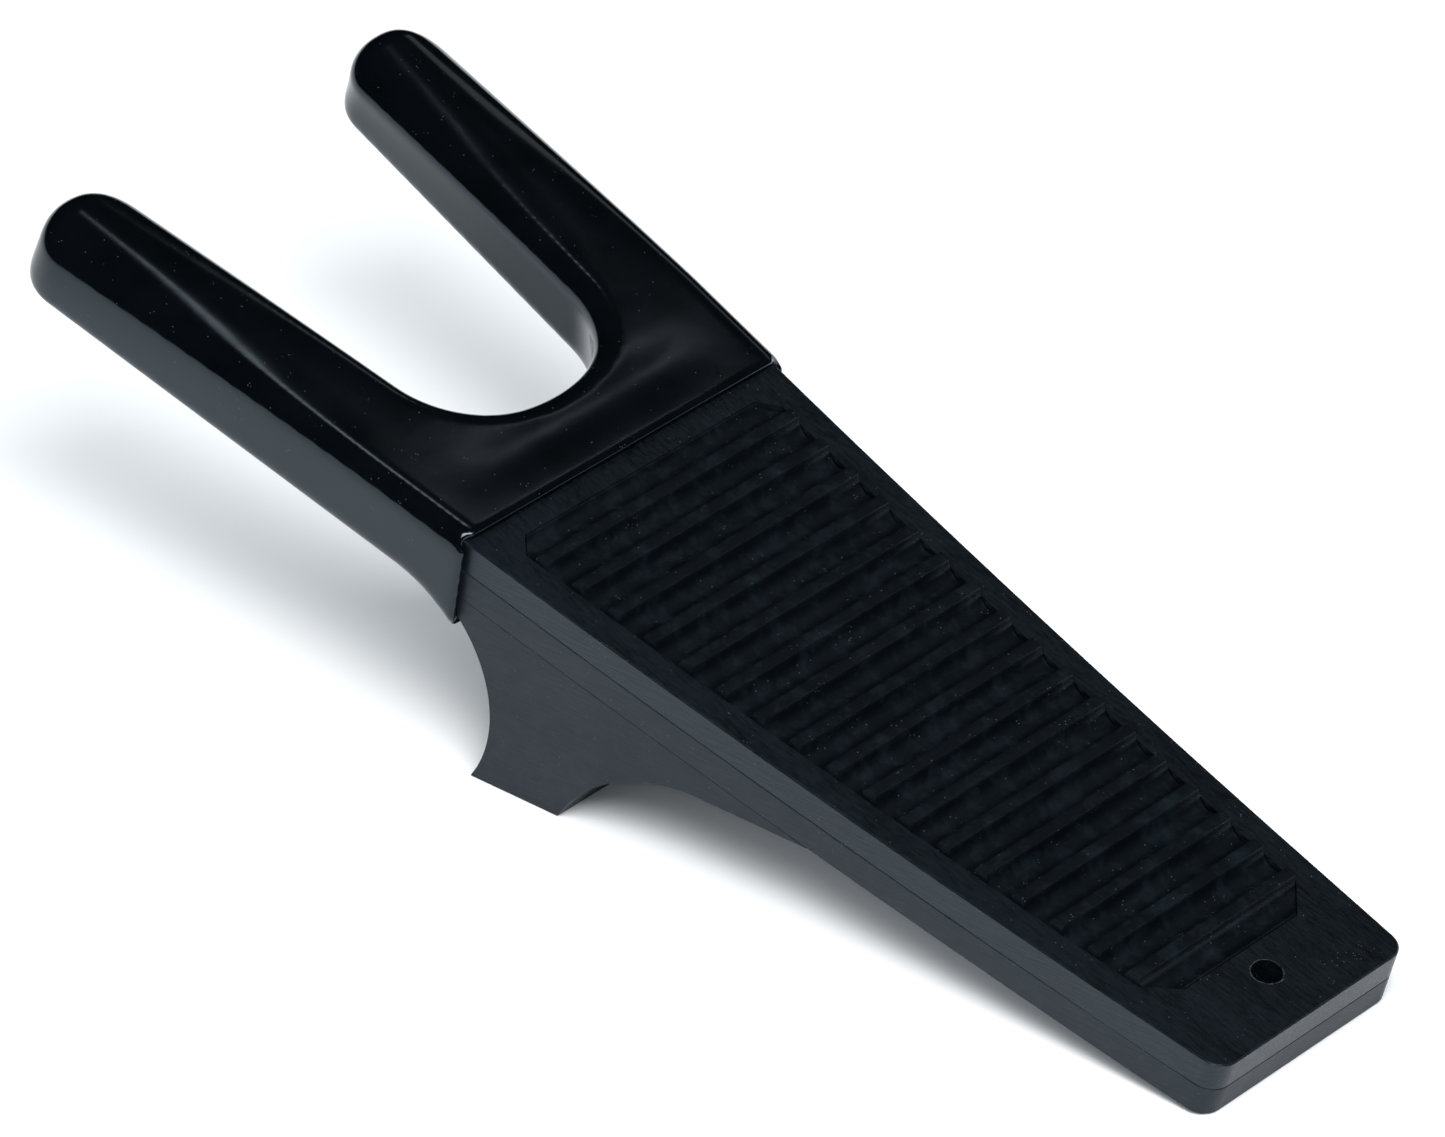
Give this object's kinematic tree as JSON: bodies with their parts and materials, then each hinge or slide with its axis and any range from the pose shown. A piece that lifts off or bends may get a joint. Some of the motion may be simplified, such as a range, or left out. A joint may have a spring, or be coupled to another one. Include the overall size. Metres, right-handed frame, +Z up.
{
  "type": "boot jack",
  "caption": "Sloping board with a rubber-dipped forked end that grips a boot heel, a ribbed tread for the other foot, and a foot block underneath that lifts the fork",
  "frame": {"origin": "middle of the footprint, on the floor", "axes": "+Z up, +X from the fork towards the low tail, Y across the board"},
  "size_m": [0.3293, 0.123, 0.0965],
  "materials": {
    "board": "satin",
    "block": "satin",
    "cover": "glossy",
    "tread": "satin",
    "screw": "brushed"
  },
  "bodies": {
    "root": {"deck_board": "board", "base_board": "board", "foot_block": "block", "fork_cover": "cover", "tread_insert": "tread", "foot_screws": "screw"}
  },
  "joints": []
}
